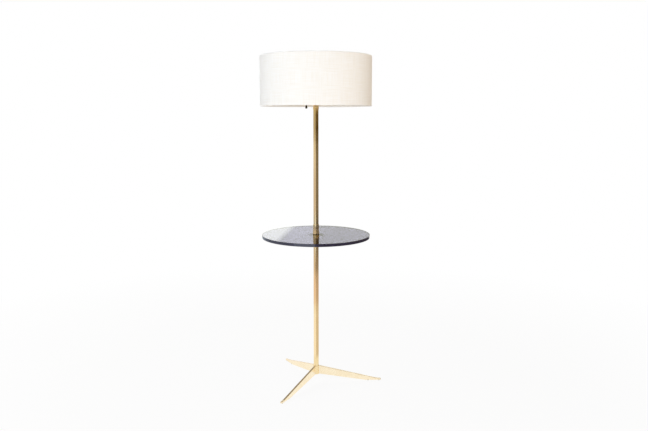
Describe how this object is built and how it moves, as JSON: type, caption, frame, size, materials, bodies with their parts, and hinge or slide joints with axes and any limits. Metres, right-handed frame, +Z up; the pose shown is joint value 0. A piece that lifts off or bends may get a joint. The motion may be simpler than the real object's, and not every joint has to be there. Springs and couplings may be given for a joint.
{
  "type": "floor lamp",
  "caption": "Floor lamp with a drum shade over a pull-chain light cluster, a round smoked-glass table part way up the pole and a tripod foot of tapered brass blades.",
  "frame": {"origin": "the point on the floor under the pole's axis; the felt pads rest in the plane z = 0", "axes": "+Z up along the pole, +X along the right-hand leg, +Y away from the viewer"},
  "size_m": [0.515, 0.4934, 1.395],
  "materials": {
    "polished_brass": "polished",
    "satin_brass": "satin",
    "dark_bronze": "dark patina",
    "smoked_glass": "polished, smoked grey",
    "opal_glass": "frosted white",
    "ivory_linen": "plain woven linen",
    "styrene_lining": "matt",
    "white_steel": "powder coated",
    "zinc_steel": "zinc plated",
    "plated_thread": "bright",
    "black_felt": "pressed felt",
    "black_rubber": "matt",
    "black_nylon": "moulded",
    "clear_nylon": "natural nylon",
    "phenolic": "moulded",
    "fibre_board": "fibre",
    "lead_insulation": "vinyl"
  },
  "bodies": {
    "stand": {"hub": "polished_brass", "leg_right": "polished_brass", "leg_rear": "polished_brass", "leg_front": "polished_brass", "leg_dowels": "zinc_steel", "foot_pads": "black_felt", "hub_washer": "zinc_steel", "hub_nut": "zinc_steel", "cord_bushing": "black_nylon", "centre_pipe": "zinc_steel", "pole_lower": "polished_brass", "pole_upper": "polished_brass", "neck_collar": "polished_brass", "table_flange": "polished_brass", "glass_washers": "black_rubber", "glass_sleeve": "clear_nylon", "table_glass": "smoked_glass", "table_collar": "polished_brass", "cluster_body": "satin_brass", "cluster_lid": "satin_brass", "riser_coupling": "satin_brass", "riser": "satin_brass", "shade_seat": "satin_brass", "finial": "satin_brass", "socket_arms": "satin_brass", "socket_liners": "fibre_board", "chain_guides": "satin_brass", "socket_leads": "lead_insulation", "splice_caps": "black_nylon", "socket_cap_right": "satin_brass", "socket_cap_rear": "satin_brass", "socket_cap_front": "satin_brass", "socket_shell_right": "satin_brass", "socket_shell_rear": "satin_brass", "socket_shell_front": "satin_brass", "socket_core_right": "phenolic", "socket_core_rear": "phenolic", "socket_core_front": "phenolic", "screw_shell_right": "plated_thread", "screw_shell_rear": "plated_thread", "screw_shell_front": "plated_thread", "bulb_base_right": "plated_thread", "bulb_base_rear": "plated_thread", "bulb_base_front": "plated_thread", "bulb_glass_right": "opal_glass", "bulb_glass_rear": "opal_glass", "bulb_glass_front": "opal_glass"},
    "shade": {"spider": "white_steel", "shade_rings": "white_steel", "shade_lining": "styrene_lining", "shade_cover": "ivory_linen"},
    "pull_right": {"pull_chain_right": "satin_brass", "pull_bell_right": "dark_bronze"},
    "pull_rear": {"pull_chain_rear": "satin_brass", "pull_bell_rear": "dark_bronze"},
    "pull_front": {"pull_chain_front": "satin_brass", "pull_bell_front": "dark_bronze"}
  },
  "joints": [
    {"name": "shade_turn", "type": "hinge", "parent": "stand", "child": "shade", "pos_m": [0, 0, 1.373], "axis": [0, 0, 1], "continuous": true},
    {"name": "chain_right", "type": "slide", "parent": "stand", "child": "pull_right", "axis": [0, 0, -1], "range_m": [0, 0.01], "stiffness_N_per_m": 400},
    {"name": "chain_rear", "type": "slide", "parent": "stand", "child": "pull_rear", "axis": [0, 0, -1], "range_m": [0, 0.01], "stiffness_N_per_m": 400},
    {"name": "chain_front", "type": "slide", "parent": "stand", "child": "pull_front", "axis": [0, 0, -1], "range_m": [0, 0.01], "stiffness_N_per_m": 400}
  ]
}
